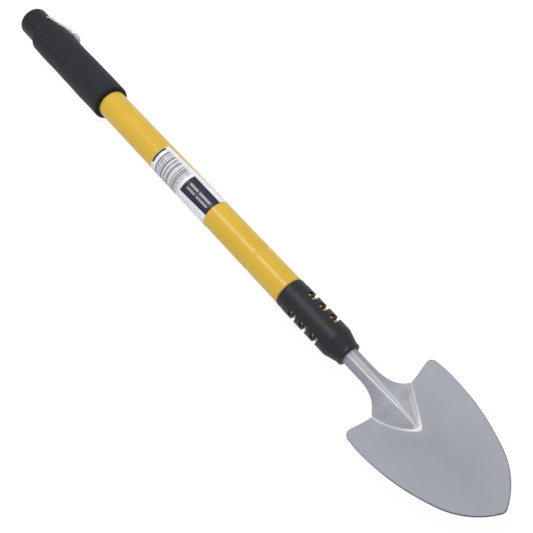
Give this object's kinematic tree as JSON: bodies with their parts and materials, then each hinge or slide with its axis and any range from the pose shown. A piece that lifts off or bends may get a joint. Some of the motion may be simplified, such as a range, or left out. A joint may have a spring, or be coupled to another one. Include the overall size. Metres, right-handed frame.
{
  "type": "telescopic garden hand trowel",
  "caption": "Telescopic hand trowel: tubular handle with foam grip and hanging bail, slotted black collar, twist-lock sliding shaft and a leaf-shaped pressed steel blade.",
  "frame": {"origin": "middle of the base of the whole tool's box, closed, lying on its back with the blade's front face up", "axes": "+X along the handle towards the trowel's tip, +Z out of the blade's front face, +Y to the left of the handle seen from the grip"},
  "size_m": [0.5774, 0.0828, 0.0413],
  "materials": {
    "yellow_paint": "semi-gloss powder coat",
    "silver_paint": "satin metallic paint",
    "grip_foam": "closed-cell foam, matt",
    "cap_plastic": "fine moulded texture",
    "collar_plastic": "satin moulded",
    "label_paper": "printed, satin",
    "bail_chrome": "bright plated wire",
    "bush_plastic": "moulded",
    "zinc_steel": "bright zinc",
    "ring_rubber": "matt"
  },
  "bodies": {
    "handle": {"outer_tube": "yellow_paint", "end_cap": "cap_plastic", "foam_grip": "grip_foam", "paper_label": "label_paper", "locking_collar": "collar_plastic", "guide_bush": "bush_plastic", "stop_bush": "bush_plastic"},
    "lock_carrier": {"split_expander": "bush_plastic", "drag_ring": "ring_rubber"},
    "lock_cone": {"cone_nut": "bush_plastic"},
    "shaft": {"inner_tube": "silver_paint", "stud_plug": "bush_plastic", "threaded_stud": "zinc_steel", "lock_nut": "zinc_steel", "thrust_washer": "zinc_steel", "trowel_head": "silver_paint", "neck_pins": "zinc_steel"},
    "bail": {"hanging_bail": "bail_chrome"}
  },
  "joints": [
    {"name": "extend", "type": "slide", "parent": "handle", "child": "lock_carrier", "axis": [1, 0, 0], "range_m": [0, 0.24]},
    {"name": "twist", "type": "hinge", "parent": "lock_carrier", "child": "shaft", "pos_m": [0, 0, 0.0202], "axis": [1, 0, 0], "range_deg": [-180, 180]},
    {"name": "cone_travel", "type": "slide", "parent": "lock_carrier", "child": "lock_cone", "axis": [1, 0, 0], "range_m": [-0.0005, 0.0005]},
    {"name": "bail_swing", "type": "hinge", "parent": "handle", "child": "bail", "pos_m": [-0.27257, 0, 0.0202], "axis": [0, 0.7071, 0.7071], "range_deg": [0, 285]}
  ],
  "couplings": [
    {"joint": "cone_travel", "follows": "twist", "m_per_rad": 0.00015915}
  ]
}
